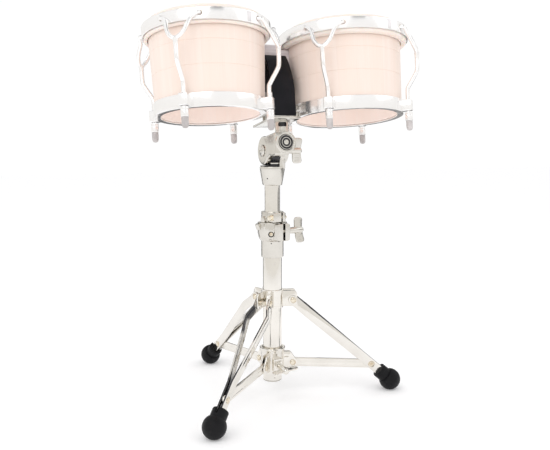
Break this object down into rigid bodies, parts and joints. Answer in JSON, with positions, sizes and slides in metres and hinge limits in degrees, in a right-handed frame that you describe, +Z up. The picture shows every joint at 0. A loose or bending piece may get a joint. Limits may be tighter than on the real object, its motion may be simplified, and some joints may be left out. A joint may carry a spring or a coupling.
{
  "type": "bongo drums on stand",
  "caption": "Pair of small flaring wooden hand drums joined by a centre block and clamped to a short chrome tripod stand with a tilting head, sliding height tube and folding braced legs.",
  "frame": {"origin": "centre of the bounding box on the floor, just in front of the stand axis", "axes": "+Z up along the stand axis, +X towards the larger drum, -Y towards the side with the clamp front and the badge"},
  "size_m": [0.444, 0.378, 0.6239],
  "materials": {
    "chrome": "polished, slightly warm",
    "white_chrome": "polished, very pale",
    "brass": "plated, bright",
    "rubber": "matte black",
    "nylon": "moulded",
    "pale_wood": "satin lacquer over pale wood",
    "block_wood": "pale grey satin",
    "rawhide": "stretched rawhide"
  },
  "bodies": {
    "base": {"lower_tube": "chrome", "tube_end_cap": "chrome", "leg_hub": "chrome", "height_clamp": "chrome", "height_clamp_bolt": "chrome", "hub_rivet_right": "brass", "hub_rivet_back": "brass", "hub_rivet_front": "brass"},
    "bushing": {"clamp_bushing": "nylon"},
    "mast": {"upper_tube": "chrome", "memory_collar": "chrome", "memory_bolt": "brass", "tilter_cup": "chrome"},
    "height_wing": {"height_wing_nut": "chrome"},
    "brace_slider": {"brace_collar": "chrome", "collar_rivet_right": "brass", "collar_rivet_back": "brass", "collar_rivet_front": "brass"},
    "slider_wing": {"collar_wing_screw": "chrome"},
    "tilt_head": {"tilter_arm": "chrome", "tilt_bolt": "chrome", "clamp_bracket": "chrome", "front_jaw_plate": "chrome", "front_jaw_pad": "rubber", "jaw_screw": "chrome", "centre_block": "block_wood", "block_bolt_1": "chrome", "block_bolt_2": "chrome", "left_shell": "pale_wood", "left_head": "rawhide", "left_tuning_band": "white_chrome", "left_bottom_ring": "white_chrome", "left_tuning_lug_1": "white_chrome", "left_tuning_lug_2": "white_chrome", "left_tuning_lug_3": "white_chrome", "left_tuning_lug_4": "white_chrome", "right_shell": "pale_wood", "right_head": "rawhide", "right_tuning_band": "white_chrome", "right_bottom_ring": "white_chrome", "right_tuning_lug_1": "white_chrome", "right_tuning_lug_2": "white_chrome", "right_tuning_lug_3": "white_chrome", "right_tuning_lug_4": "white_chrome"},
    "tilt_wing": {"tilt_wing_nut": "chrome"},
    "rear_jaw": {"rear_jaw_plate": "chrome", "rear_jaw_pad": "rubber"},
    "jaw_wing": {"jaw_wing_nut": "chrome"},
    "leg_right": {"leg_right_strap_a": "chrome", "leg_right_strap_b": "chrome", "foot_right": "rubber"},
    "brace_right": {"brace_right": "chrome"},
    "leg_back": {"leg_back_strap_a": "chrome", "leg_back_strap_b": "chrome", "foot_back": "rubber"},
    "brace_back": {"brace_back": "chrome"},
    "leg_front": {"leg_front_strap_a": "chrome", "leg_front_strap_b": "chrome", "foot_front": "rubber"},
    "brace_front": {"brace_front": "chrome"}
  },
  "joints": [
    {"name": "mast_swivel", "type": "hinge", "parent": "base", "child": "bushing", "pos_m": [-0.0106, -0.0284, 0.28], "axis": [0, 0, 1], "continuous": true},
    {"name": "mast_height", "type": "slide", "parent": "bushing", "child": "mast", "axis": [0, 0, 1], "range_m": [0, 0.1]},
    {"name": "height_wing_turn", "type": "hinge", "parent": "base", "child": "height_wing", "pos_m": [0.00864, -0.05037, 0.2812], "axis": [0.9659, 0.2588, 0], "continuous": true},
    {"name": "tilt", "type": "hinge", "parent": "mast", "child": "tilt_head", "pos_m": [-0.0106, -0.0284, 0.4123], "axis": [1, 0, 0], "range_deg": [-30, 30]},
    {"name": "tilt_wing_turn", "type": "hinge", "parent": "tilt_head", "child": "tilt_wing", "pos_m": [0.0112, -0.0284, 0.4123], "axis": [1, 0, 0], "continuous": true},
    {"name": "rear_jaw_slide", "type": "slide", "parent": "tilt_head", "child": "rear_jaw", "axis": [0, 0.9891, -0.1469], "range_m": [0, 0.01]},
    {"name": "jaw_wing_turn", "type": "hinge", "parent": "rear_jaw", "child": "jaw_wing", "pos_m": [-0.0086, 0.00349, 0.48339], "axis": [0, 0.9891, -0.1469], "continuous": true},
    {"name": "brace_slide", "type": "slide", "parent": "base", "child": "brace_slider", "axis": [0, 0, 1], "range_m": [0, 0.0661]},
    {"name": "slider_wing_turn", "type": "hinge", "parent": "brace_slider", "child": "slider_wing", "pos_m": [-0.0106, -0.0614, 0.0561], "axis": [0, -1, 0], "continuous": true},
    {"name": "leg_right_fold", "type": "hinge", "parent": "base", "child": "leg_right", "pos_m": [0.02207, -0.03783, 0.1637], "axis": [0.2773, 0.9608, 0], "range_deg": [0, 49.5]},
    {"name": "brace_right_fold", "type": "hinge", "parent": "brace_slider", "child": "brace_right", "pos_m": [0.02235, -0.03791, 0.0541], "axis": [0.2773, 0.9608, 0], "range_deg": [0, 86.88]},
    {"name": "leg_back_fold", "type": "hinge", "parent": "base", "child": "leg_back", "pos_m": [-0.01877, 0.0046, 0.1637], "axis": [-0.9707, -0.2402, 0], "range_deg": [0, 49.5]},
    {"name": "brace_back_fold", "type": "hinge", "parent": "brace_slider", "child": "brace_back", "pos_m": [-0.01884, 0.0049, 0.0541], "axis": [-0.9707, -0.2402, 0], "range_deg": [0, 86.88]},
    {"name": "leg_front_fold", "type": "hinge", "parent": "base", "child": "leg_front", "pos_m": [-0.0351, -0.05198, 0.1637], "axis": [0.6934, -0.7206, 0], "range_deg": [0, 49.5]},
    {"name": "brace_front_fold", "type": "hinge", "parent": "brace_slider", "child": "brace_front", "pos_m": [-0.03531, -0.05218, 0.0541], "axis": [0.6934, -0.7206, 0], "range_deg": [0, 86.88]}
  ],
  "couplings": [
    {"joint": "leg_right_fold", "follows": "brace_slide", "rad_per_m": 13.056},
    {"joint": "brace_right_fold", "follows": "brace_slide", "rad_per_m": 22.928},
    {"joint": "leg_back_fold", "follows": "brace_slide", "rad_per_m": 13.056},
    {"joint": "brace_back_fold", "follows": "brace_slide", "rad_per_m": 22.928},
    {"joint": "leg_front_fold", "follows": "brace_slide", "rad_per_m": 13.056},
    {"joint": "brace_front_fold", "follows": "brace_slide", "rad_per_m": 22.928}
  ]
}
